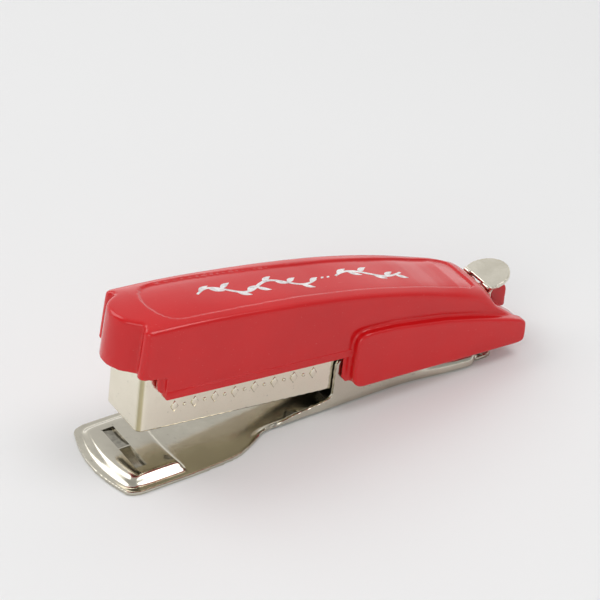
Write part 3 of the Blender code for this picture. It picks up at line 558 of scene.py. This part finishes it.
def make_base():
    rows = [sheet_row(x, True) for x in PADDLE_ROWS] + [sheet_row(x, False) for x in BODY_ROWS]
    bm = bmesh.new()
    grid_faces(bm, [[bm.verts.new(spot(point, "base")) for point in row] for row in rows])
    base = from_bmesh("base_sheet", bm)
    if base.data.polygons[0].normal.z < 0:
        base.data.flip_normals()
    subdivide(base, 2)
    shell = base.modifiers.new("Sheet", "SOLIDIFY")
    shell.thickness = SHEET * MM
    shell.offset = -1
    shell.use_quality_normals = True
    settle(base)
    holes = [turned("ear_hole", [(-9, STUD_R + GAP), (9, STUD_R + GAP)], "y", (PIVOT_U, 0, PIVOT_V), "base"),
             turned("spring_hole", [(-1, RIVET_HOLE_R), (2, RIVET_HOLE_R)], "v", (60.0, 0, 0), "base")]
    boolean(base, "DIFFERENCE", holes)
    soften(base, SHEET_VOXEL, 3)
    boolean(base, "DIFFERENCE", [anvil_pocket(1), anvil_pocket(-1)])
    base.data.set_sharp_from_angle(angle=math.radians(35))
    return base


# ---------------------------------------------------------------- channel

def nose_outline(offset, rear):
    """Plan of the channel, counter-clockwise, drawn in by offset."""
    r = NOSE_R - offset
    half, front = CHANNEL_HALF - offset, NOSE_U + NOSE_R
    near = arc(front, -(CHANNEL_HALF - NOSE_R), r, 180, 270, 14)
    far = arc(front, CHANNEL_HALF - NOSE_R, r, 90, 180, 14)
    return near + [(rear, -half), (rear, half)] + far


LOZENGE = [(0.78, 0), (0, 1.15), (-0.78, 0), (0, -1.15)]
LOZENGE_FROM, LOZENGE_PITCH, LOZENGE_COUNT, LOZENGE_RELIEF = 11.2, 1.95, 15, 0.13


def channel_lozenges():
    """Low pressed lozenges and dots in a row along each wall."""
    made = []
    for side in (1, -1):
        wall = side * (CHANNEL_HALF - 0.25)
        face = side * (CHANNEL_HALF + LOZENGE_RELIEF)
        for k in range(LOZENGE_COUNT):
            u = LOZENGE_FROM + LOZENGE_PITCH * k
            v = 5.0 + 0.03 * k
            outline = LOZENGE if k % 2 == 0 else arc(0, 0, 0.34, 0, 330, 11)
            rings = [[(u + a, wall, v + b) for a, b in outline],
                     [(u + a, face - side * 0.1, v + b) for a, b in outline],
                     [(u + a * 0.78, face, v + b * 0.78) for a, b in outline]]
            made.append(closed_rings("lozenge", rings, "upper"))
    return made


def make_channel():
    body = prism("staple_channel", nose_outline(0, CHANNEL_END), (CHANNEL_FLOOR, 14.3), "uy", "upper")
    top = [(2, 20), (2, 14.4), (3, 14.3), (11, 14.1), (12.5, 13.6), (17, 10.2), (19, 9.7), (60, 9.0),
           (74, 8.6), (CHANNEL_END + 3, 8.5), (CHANNEL_END + 3, 20)]
    bottom = [(2, -3), (2, 0.6), (44.8, 0.6), (45.2, 1.4),
              (46.6, CHANNEL_REAR_FLOOR), (68.8, CHANNEL_REAR_FLOOR), (72.0, 3.0), (CHANNEL_END + 3, 5.8),
              (CHANNEL_END + 3, -3)]
    floor = CHANNEL_FLOOR + CHANNEL_WALL
    rear_floor = CHANNEL_REAR_FLOOR + CHANNEL_WALL
    half = CHANNEL_HALF - CHANNEL_WALL
    hollow = [(43.5, floor), (44.3, floor), (46.0, rear_floor), (69.0, rear_floor),
              (72.0, rear_floor + 0.45), (CHANNEL_END + 4, rear_floor + 0.45), (CHANNEL_END + 4, 22),
              (43.5, 22)]
    cutters = [
        prism("top_cut", top, (-9, 9), "uv", "upper"),
        prism("bottom_cut", bottom, (-9, 9), "uv", "upper"),
        prism("hollow", nose_outline(CHANNEL_WALL, 44.2), (floor, 22), "uy", "upper"),
        prism("rear_hollow", hollow, (-half, half), "uv", "upper"),
        block("staple_exit", (5.0, -4.9, -2), (6.1, 4.9, 5), "upper"),
        turned("pivot_hole", [(-9, STUD_R + GAP), (9, STUD_R + GAP)], "y", (PIVOT_U, 0, PIVOT_V), "upper"),
    ]
    for u in (14.0, 38.0):
        cutters.append(turned("rivet_hole", [(-1, RIVET_HOLE_R), (2.6, RIVET_HOLE_R)], "v", (u, 0, 0), "upper"))
    boolean(body, "DIFFERENCE", cutters)
    soften(body, SHEET_VOXEL, 3)
    boolean(body, "UNION", channel_lozenges())
    body.data.set_sharp_from_angle(angle=math.radians(60))
    return body


# ---------------------------------------------------------------- tab

LEG = [(75.62, 13.3), (75.62, 4.2), (76.32, 4.2), (76.32, 12.6), (76.6, 13.05), (77.3, 13.3), (77.2, 13.9),
       (76.0, 13.62)]
LEG_INNER, LEG_OUTER, KNUCKLE_R = 2.2, 3.8, 0.42
MARK_RADII = [(0.0, 0.3), (0.85, 1.15)]  # inner and outer: a dot, and a ring round it


def circle(centre, radius):
    angles = [2 * math.pi * k / 40 for k in range(40)]
    return [(centre + radius * math.cos(a), radius * math.sin(a)) for a in angles]


def make_tab():
    start = math.degrees(math.acos(TAB_SET / TAB_R))
    outline = arc(TAB_SET, 0, TAB_R, start - 180, 180 - start, 72)
    pitch = math.radians(TAB_PITCH)

    def laid(a, y, c):
        """A point of the flat tab, pitched up about its root."""
        cos, sin = math.cos(pitch), math.sin(pitch)
        return TAB_U + a * cos - c * sin, y, TAB_V + a * sin + c * cos

    tab = closed_rings("finger_tab", [[laid(a, y, c) for a, y in outline] for c in (-TAB_T, 0)], "upper")
    pieces = []
    for side in (1, -1):
        ends = [(side * LEG_INNER, 0.3), (side * (LEG_INNER + 0.1), KNUCKLE_R),
                (side * (LEG_OUTER - 0.1), KNUCKLE_R), (side * LEG_OUTER, 0.3)]
        pieces.append(prism("leg", LEG, (side * LEG_INNER, side * LEG_OUTER), "uv", "upper"))
        pieces.append(turned("knuckle", ends, "y", (75.42, 0, 13.62), "upper", 24))
    pieces.append(block("crossbar", (75.64, -3.0, 4.22), (76.3, 3.0, 7.2), "upper"))
    centre_a = TAB_SET + 0.3
    for inner, outer in MARK_RADII:
        rim = circle(centre_a, outer)
        raised = closed_rings("mark", [[laid(a, y, c) for a, y in rim] for c in (-0.2, 0.06)], "upper")
        if inner:
            rim = circle(centre_a, inner)
            hole = closed_rings("mark_hole", [[laid(a, y, c) for a, y in rim] for c in (-0.4, 0.4)], "upper")
            boolean(raised, "DIFFERENCE", [hole])
        pieces.append(raised)
    boolean(tab, "UNION", pieces)
    boolean(tab, "DIFFERENCE", [turned("rod_bore", [(-13, ROD_R + GAP), (14, ROD_R + GAP)], "u",
                                       (PIVOT_U, 0, ROD_V), "upper", 32)])
    soften(tab, TAB_VOXEL, 3)
    return tab


# ---------------------------------------------------------------- cover

# Tables of (u, value) along the cover: height of the deck's side edge, crown above it, how square the crown
# is, and the top of the skirt's thicker rim. WING and the lists after it are outlines in (u, v).
SIDE_EDGE = [(0.0, 21.6), (3.4, 21.7), (14.4, 21.9), (25.4, 21.6), (36.3, 21.0), (47.3, 19.9), (58.3, 17.9),
             (65.0, 16.1), (69.3, 14.8), (75.6, 11.5), (79.3, 9.1), (80.6, 8.2)]
CROWN = [(0.0, 0.9), (6.0, 1.2), (16.0, 1.1), (28.0, 0.7), (40.0, 0.4), (55.0, 0.5), (65.0, 1.0),
         (70.0, 1.55), (73.3, 2.1), (74.4, 1.9), (75.0, 0.6), (75.6, 0.1), (80.6, 0.0)]
CROWN_POWER = [(0.0, 2.2), (16.0, 2.4), (40.0, 4.0), (81.0, 5.0)]
STEP_LINE = [(8.0, 9.75), (26.0, 9.9), (44.0, 10.05), (47.0, 10.0), (56.0, 5.0), (81.0, 4.0)]
WING = [(44.85, 5.2), (44.95, 4.3), (45.3, 3.4), (45.9, 2.7), (46.8, 2.4), (58.8, 3.06), (69.4, 3.57),
        (79.6, 4.15), (80.6, 4.35), (81.05, 4.7), (81.25, 5.3), (81.15, 7.5), (81.0, 8.4), (80.5, 8.85),
        (78.3, 9.55), (70.3, 11.25), (63.5, 12.4), (53.0, 13.35), (47.2, 13.3), (46.2, 13.1), (45.5, 12.7),
        (45.05, 12.1), (44.85, 11.2)]
SKIRT_CUT = [(-6, -6), (-6, 13.1), (3.0, 12.95), (6.9, 12.6), (7.5, 12.55), (8.1, 12.4), (8.1, 8.25),
             (8.25, 8.1), (41.7, 8.4), (46.0, 8.5), (46.0, 5.0), (48.0, 3.9), (58.8, 4.3),
             (69.4, 4.8), (80.4, 5.4), (80.9, 5.8), (92, 5.8), (92, -6)]
FRONT_RIB = [(6.95, 14.0), (6.95, 10.4), (7.15, 9.6), (7.6, 9.05), (8.1, 8.9), (11.0, 9.2), (11.0, 14.0)]
REAR_RIB = [(43.5, 11.0), (43.5, 4.2), (44.4, 3.15), (48.0, 3.25), (48.0, 11.0)]
TAIL_FIN = [(72.0, 12.0), (72.0, 9.6), (74.5, 8.7), (81.3, 7.5), (81.45, 7.9), (81.35, 11.1),
            (81.1, 11.75), (80.6, 12.2), (79.9, 12.35), (79.0, 12.1), (77.8, 11.5), (76.4, 11.5),
            (75.3, 11.9), (75.15, 13.2), (74.6, 13.6), (73.6, 12.6)]
BULGE_U, BULGE_R = 5.7, 5.64
EAR_U, EAR_Y, EAR_R = 4.15, 6.85, 1.15
TAIL_U, TAIL_R = 79.9, 1.1


def side_half(u):
    """Half width over the cover's side walls."""
    return 8.0 - 0.5 * smoothstep(10.0, 80.0, u)


def deck(u, y, drop=0.0):
    """Height of the cover's top surface, less drop."""
    share = min(abs(y) / side_half(u), 1.0)
    return smooth_table(SIDE_EDGE, u) + lerp_table(CROWN, u) * (1 - share ** lerp_table(CROWN_POWER, u)) - drop


def cover_outline():
    """Half plan of the cover at mid height, from the nose's tip to the rear, as (u, y, outward normal)."""
    points = []
    for angle in (0, 8, 17, 27, 37, 47, 57, 66):
        a = math.radians(angle)
        points.append((BULGE_U - BULGE_R * math.cos(a), BULGE_R * math.sin(a), (-math.cos(a), math.sin(a))))
    points.append((3.62, 5.75, (-0.95, 0.3)))
    for angle in (220, 195, 170, 145, 118, 92):
        a = math.radians(angle)
        points.append((EAR_U + EAR_R * math.cos(a), EAR_Y + EAR_R * math.sin(a), (math.cos(a), math.sin(a))))
    for u in (7.0, 10.0, 14.0, 18.0, 23.0, 28.0, 34.0, 40.0, 46.0, 52.0, 57.0, 61.0, 65.0, 68.0, 70.5, 72.5,
              73.3, 74.0, 74.4, 74.8, 75.2, 75.8, 77.0, 78.6):
        points.append((u, side_half(u), (0.0, 1.0)))
    for angle in (90, 60, 30, 2):
        a = math.radians(angle)
        points.append((TAIL_U + TAIL_R * math.cos(a), side_half(79) - TAIL_R + TAIL_R * math.sin(a),
                       (math.cos(a), math.sin(a))))
    return points


def make_cover_skin():
    half = cover_outline()
    columns = [1.0, 0.965, 0.9, 0.8, 0.6, 0.3, 0.0]
    centre_u = [u - n[0] * EDGE_R for u, _, n in half[:8]] + [4.95, 5.4, 5.7, 6.0, 6.3, 6.6, 6.95]
    centre_u += [max(u - n[0] * EDGE_R, 7.3) for u, _, n in half[15:]]
    bm = bmesh.new()

    def lean(u, v):
        return u + 0.07 * (v - 14.0) * (1 - smoothstep(4.5, 9.0, u))

    def ring(inset, level):
        """One ring round the whole plan; level(u, y) gives its height."""
        spots = [(u - nu * inset, max(y - ny * inset, 0.0)) for u, y, (nu, ny) in half]
        spots[0] = (spots[0][0], 0.0)
        made = []
        for u, y in spots + [(u, -y) for u, y in reversed(spots[1:])]:
            v = level(u, y)
            made.append(bm.verts.new(spot((lean(u, v), y, v), "upper")))
        return made

    def fillet_level(amount):
        return lambda u, y: deck(u, y) - amount

    rings = [ring(0.0, lambda u, y: -1.0), ring(0.0, lambda u, y: lerp_table(STEP_LINE, u))]
    for degrees in (0, 30, 60, 90):
        a = math.radians(degrees)
        rings.append(ring(EDGE_R * (1 - math.cos(a)), fillet_level(EDGE_R * (1 - math.sin(a)))))
    grid_faces(bm, rings, close=True)
    bm.faces.new(rings[0])
    top = rings[-1]
    count = len(half)
    spots = [(u - n[0] * EDGE_R, max(y - n[1] * EDGE_R, 0.0)) for u, y, n in half]
    rows = []
    for k in range(1, count):
        u_edge, y_edge = spots[k]
        row = [top[k]]
        for share in columns[1:] + [-c for c in columns[-2:0:-1]]:
            u = centre_u[k] + (u_edge - centre_u[k]) * abs(share) ** 14
            v = deck(u, y_edge * share)
            row.append(bm.verts.new(spot((lean(u, v), y_edge * share, v), "upper")))
        rows.append(row + [top[len(top) - k]])
    grid_faces(bm, rows)
    bm.faces.new([top[0]] + rows[0])
    bm.faces.new(rows[-1][::-1])
    skin = from_bmesh("cover_body", bm)
    subdivide(skin, 2)
    return skin


def cavity():
    """The hollow under the deck: stations along u with the roof following the side edge line."""
    half = [(1.9, 0.0), (1.9, 1.6), (2.6, 3.1), (3.8, 4.2)]
    half += arc(NOSE_U + NOSE_R, CHANNEL_HALF - NOSE_R, NOSE_R + 0.36, 172, 95, 5)
    half += [(7.0, SKIRT_INNER_FRONT), (39.5, SKIRT_INNER_FRONT), (41.2, SKIRT_INNER_REAR),
             (79.4, SKIRT_INNER_REAR - 0.25), (79.4, 4.4), (90.0, 4.4)]
    stations = sorted({u for u, _ in half} | {12.0, 20.0, 28.0, 36.0, 48.0, 55.0, 61.0, 66.0, 70.0, 74.0, 77.0})
    rings = []
    for u in stations:
        widths = [p[1] for p in half if abs(p[0] - u) < 1e-9] or [lerp_table(sorted(half), u)]
        twice = len(widths) > 1 and u > 70
        for place, width in ([(u, widths[0]), (u + 0.02, widths[-1])] if twice else [(u, widths[-1])]):
            width = max(width, 0.01)
            roof = smooth_table(SIDE_EDGE, min(place, 79.0)) - DECK_T
            rings.append([(place, -width, -4.0), (place, width, -4.0), (place, width, roof - 0.5),
                          (place, width - 0.5, roof), (place, 0.5 - width, roof), (place, -width, roof - 0.5)])
    return closed_rings("cavity", rings, "upper")


def panel_half(u):
    """Half width of the sunk panel at this u."""
    front = min(max((u - 6.88) / 5.6, 0.0), 1.0)
    width = (6.0 - 0.75 * smoothstep(14, 40, u)) * math.sqrt(max(1 - (1 - front) ** 2.6, 0.0))
    return width - (0.9 * (u - 70) / 1.7 if u > 70 else 0.0)


def recess():
    """The sunk panel on the deck, round at its front and open to the rear rim."""
    stations = [6.9, 6.95, 7.0, 7.1, 7.25, 7.45, 7.7, 8.0, 8.4, 8.9, 9.4, 10.0, 10.8, 11.6, 12.5]
    stations += [14 + 2 * k for k in range(28)] + [70.0, 70.6, 71.2, 71.7]
    shares = [k / 6 - 1 for k in range(13)]
    rings = []
    for u in stations:
        width = panel_half(u)
        rings.append([(u, width * s, deck(u, width * s, RECESS_DEPTH)) for s in shares]
                     + [(u, width * s, deck(u, 0.0) + 2.5) for s in reversed(shares)])
    return closed_rings("recess", rings, "upper")


def wing_slab(side):
    """The thicker pad that covers the rear half of the side, its outer rim rounded."""
    outline = rounded_outline(WING, 1)
    radius, inner, outer = 0.55, side * 7.2, side * WING_HALF
    rings = [[(u, inner, v) for u, v in outline]]
    for degrees in (0, 15, 30, 45, 60, 75, 90):
        a = math.radians(degrees)
        y = outer - side * radius * (1 - math.sin(a))
        rings.append([(u, y, v) for u, v in drawn_in(outline, radius * (1 - math.cos(a)))])
    return closed_rings("wing", rings, "upper")


def skirt_band(side):
    """The skirt's slightly thicker rim, its upper edge a small slope."""
    rings = []
    for u in (8.16, 8.3, 14.0, 20.0, 26.0, 32.0, 38.0, 44.0, 45.2):
        face, level = side_half(u), lerp_table(STEP_LINE, u)
        foot = 8.15 + 0.3 * (u - 8.0) / 34.0
        out = side * (face + (0.06 if u < 8.2 else 0.15))
        rings.append([(u, side * (face - 0.4), foot), (u, side * (face - 0.4), level - 0.3),
                      (u, side * (face - 0.1), level + 0.06), (u, out, level - 0.14), (u, out, foot + 0.08)])
    return closed_rings("skirt_band", rings, "upper")


def make_cover():
    cover = make_cover_skin()
    boolean(cover, "DIFFERENCE", [prism("skirt_cut", SKIRT_CUT, (-13, 13), "uv", "upper"), cavity()])
    added, holes = [], []
    for side in (1, -1):
        added.append(wing_slab(side))
        added.append(prism("front_rib", FRONT_RIB, (side * 6.12, side * 7.1), "uv", "upper"))
        added.append(prism("rear_rib", REAR_RIB, (side * 7.02, side * 7.5), "uv", "upper"))
        holes.append(turned("wing_hole", [(side * 6.5, STUD_R + GAP), (side * 8.5, STUD_R + GAP)], "y",
                            (PIVOT_U, 0, PIVOT_V), "upper"))
    boolean(cover, "UNION", added)
    boolean(cover, "DIFFERENCE", [block("tail_opening", (74.9, -4.2, -6), (95, 4.2, 25), "upper")])
    boolean(cover, "UNION", [prism("tail_fin", TAIL_FIN, (-1.6, 1.6), "uv", "upper")])
    for u in (16.0, 44.0):
        roof = smooth_table(SIDE_EDGE, u) - DECK_T
        holes.append(turned("deck_hole", [(roof - 2, 1.2), (roof + 0.75, 1.2)], "v", (u, 0, 0), "upper"))
    boolean(cover, "DIFFERENCE", [recess()] + holes)
    soften(cover, COVER_VOXEL, 2, 0.52)
    boolean(cover, "UNION", [skirt_band(1), skirt_band(-1)])
    cover.data.set_sharp_from_angle(angle=math.radians(50))
    return cover


# ---------------------------------------------------------------- panel ornament

def laid_strip(bm, line, widths, height=0.03):
    """A thin ribbon of foil along a line of (u, y) on the sunk panel."""
    rings = []
    for k, (u, y) in enumerate(line):
        before, after = line[max(k - 1, 0)], line[min(k + 1, len(line) - 1)]
        du, dy = after[0] - before[0], after[1] - before[1]
        length = math.hypot(du, dy)
        side = (-dy / length * widths[k] / 2, du / length * widths[k] / 2)
        ring = []
        for sign, lift in ((1, -0.05), (1, height), (-1, height), (-1, -0.05)):
            a, b = u + sign * side[0], y + sign * side[1]
            ring.append(bm.verts.new(spot((a, b, deck(a, b, RECESS_DEPTH) + lift), "upper")))
        rings.append(ring)
    grid_faces(bm, rings, close=True)
    bm.faces.new(rings[0])
    bm.faces.new(rings[-1])


def sprig(bm, start, end, middle, swing, waves, leaves):
    """A wavy stem with a leaf on the outside of every half wave."""
    def stem(t):
        return start + (end - start) * t, middle + swing * math.sin(math.pi * waves * t) * (1 - 0.25 * t)

    count = 24 * waves
    line = [stem(k / count) for k in range(count + 1)]
    widths = [0.42 + 0.2 * math.sin(math.pi * k / count) for k in range(count + 1)]
    laid_strip(bm, line, widths)
    for k in range(leaves):
        t = (k + 0.35) / leaves
        u, y = stem(t)
        turn = 1 if k % 2 == 0 else -1
        angle = turn * math.radians(52)
        reach = 2.9 - 0.6 * t
        leaf = []
        for step in range(9):
            s = step / 8
            a = angle * (1 - 0.35 * s)
            leaf.append((u + reach * s * math.cos(a), y + reach * s * math.sin(a)))
        widths = [0.14 + 0.86 * math.sin(math.pi * min(step / 8 + 0.04, 1.0)) for step in range(9)]
        laid_strip(bm, leaf, widths)


def make_ornament():
    """Two leafy sprigs with two small dashes between them."""
    bm = bmesh.new()
    sprig(bm, 17.0, 40.5, -0.2, 1.5, 4, 11)
    sprig(bm, 44.8, 58.5, 0.2, 1.3, 2, 6)
    for k in range(2):
        u = 42.0 + 1.2 * k
        laid_strip(bm, [(u - 0.35, -0.1), (u, 0.1), (u + 0.35, 0.3)], [0.1, 0.5, 0.1])
    return from_bmesh("panel_ornament", bm)


# ---------------------------------------------------------------- studio

def area_light(name, place, target, size, power):
    data = bpy.data.lights.new(name, "AREA")
    data.shape = "RECTANGLE"
    data.size, data.size_y = size
    data.energy = power
    lamp = bpy.data.objects.new(name, data)
    lamp.location = place
    lamp.rotation_euler = (Vector(target) - Vector(place)).to_track_quat("-Z", "Y").to_euler()
    bpy.context.scene.collection.objects.link(lamp)


def studio():
    """Floor, three soft lights and a room that is brighter towards the horizon behind the stapler."""
    bm = bmesh.new()
    bmesh.ops.create_grid(bm, x_segments=1, y_segments=1, size=4.0)
    floor = from_bmesh("floor", bm)
    finish_as(floor, paper_floor())
    area_light("key", (-0.26, 0.40, 0.56), (0, 0, 0), (0.45, 0.45), 1.4)
    area_light("overhead", (0.24, -0.16, 0.62), (0, 0, 0), (0.28, 0.28), 0.95)
    area_light("front_fill", (-0.60, -0.55, 0.50), (0, 0, 0.01), (0.7, 0.5), 2.4)
    world = bpy.data.worlds.new("soft_room")
    bpy.context.scene.world = world
    world.use_nodes = True
    tree = world.node_tree
    up = split_vector(tree, "Generated")["Z"]
    height = ramp(tree, up, [(0.0, 1.0), (0.12, 0.72), (0.25, 0.50), (0.4, 0.46), (0.55, 0.42), (0.8, 0.48),
                             (1.0, 0.55)])
    place = tree.nodes.new("ShaderNodeTexCoord")
    towards = tree.nodes.new("ShaderNodeVectorMath")
    towards.operation = "DOT_PRODUCT"
    towards.inputs[1].default_value = (0.45, 0.89, 0.0)
    tree.links.new(place.outputs["Generated"], towards.inputs[0])
    turn = maths(tree, "ADD", maths(tree, "MULTIPLY", towards.outputs["Value"], 0.5), 0.5)
    sky = mixed(tree, "MULTIPLY", 1.0, height, ramp(tree, turn, [(0.0, 0.45), (0.5, 0.6), (0.85, 1.0)]))
    tree.links.new(sky, tree.nodes["Background"].inputs["Color"])
    tree.nodes["Background"].inputs["Strength"].default_value = 1.7


def camera():
    """Looks down at the nose's near side, 30.8 degrees round from square on and 33.7 above the table."""
    azimuth, elevation, roll = math.radians(30.755), math.radians(33.735), math.radians(0.25)
    distance, field = 0.4655, math.radians(12.67)
    target = Vector((-0.00094, 0.0, 0.020385))
    forward = Vector((math.sin(azimuth) * math.cos(elevation), math.cos(azimuth) * math.cos(elevation),
                      -math.sin(elevation)))
    data = bpy.data.cameras.new("camera")
    data.sensor_width = 36.0
    data.lens = data.sensor_width / 2 / math.tan(field / 2)
    data.clip_start, data.clip_end = 0.01, 20.0
    cam = bpy.data.objects.new("camera", data)
    turn = forward.to_track_quat("-Z", "Y").to_matrix().to_4x4() @ Matrix.Rotation(roll, 4, "Z")
    cam.matrix_world = Matrix.Translation(target - forward * distance) @ turn
    bpy.context.scene.collection.objects.link(cam)
    bpy.context.scene.camera = cam


# ---------------------------------------------------------------- build

RED = red_plastic()
# Painted shade: the base's nickel is coloured much darker than the channel's, standing in for the darker
# reflections on the base plate.
BASE_NICKEL = nickel("nickel_base", (0.47, 0.44, 0.365), (0.66, 0.625, 0.53), (0.38, 0.34, 0.26),
                     (0.4, 4.0, 4.0), pocket_shade=True)
CHANNEL_NICKEL = nickel("nickel_channel", (0.80, 0.745, 0.615), (0.90, 0.85, 0.72), (0.72, 0.66, 0.52),
                        (0.4, 4.0, 4.0), nose_reflection=True)
TAB_NICKEL = nickel("nickel_tab", (0.62, 0.58, 0.485), (0.84, 0.795, 0.68), (0.48, 0.43, 0.33),
                    (4.0, 0.4, 4.0))
STEEL = plain_steel("rolled_steel", (0.62, 0.61, 0.58), 0.36, (0.3, 5.0, 5.0))
SPRING_STEEL = plain_steel("spring_steel", (0.45, 0.46, 0.48), 0.36, (3.0, 3.0, 3.0))
FOIL = silver_foil()

for piece, body, node, slot, material in (
        (make_base(), "base", "base_plate", "nickel_base", BASE_NICKEL),
        (make_channel(), "magazine", "magazine_channel", "nickel_channel", CHANNEL_NICKEL),
        (make_tab(), "follower", "pull_tab", "nickel_tab", TAB_NICKEL),
        (make_cover(), "cover", "cover_shell", "red_plastic", RED)):
    finish_as(piece, material)
    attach(piece, body)
    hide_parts(node)

ornament = make_ornament()
finish_as(ornament, FOIL)
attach(ornament, "cover")

for name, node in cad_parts.items():
    if node.hide_render:
        continue
    finish_as(node, SPRING_STEEL if "spring" in name and "rivet" not in name else STEEL)
    soft = node.modifiers.new("Edges", "BEVEL")
    soft.width, soft.segments, soft.limit_method = 0.06 * MM, 2, "ANGLE"
    soft.angle_limit = math.radians(40)

studio()
camera()
bpy.context.scene.view_settings.view_transform = "Standard"
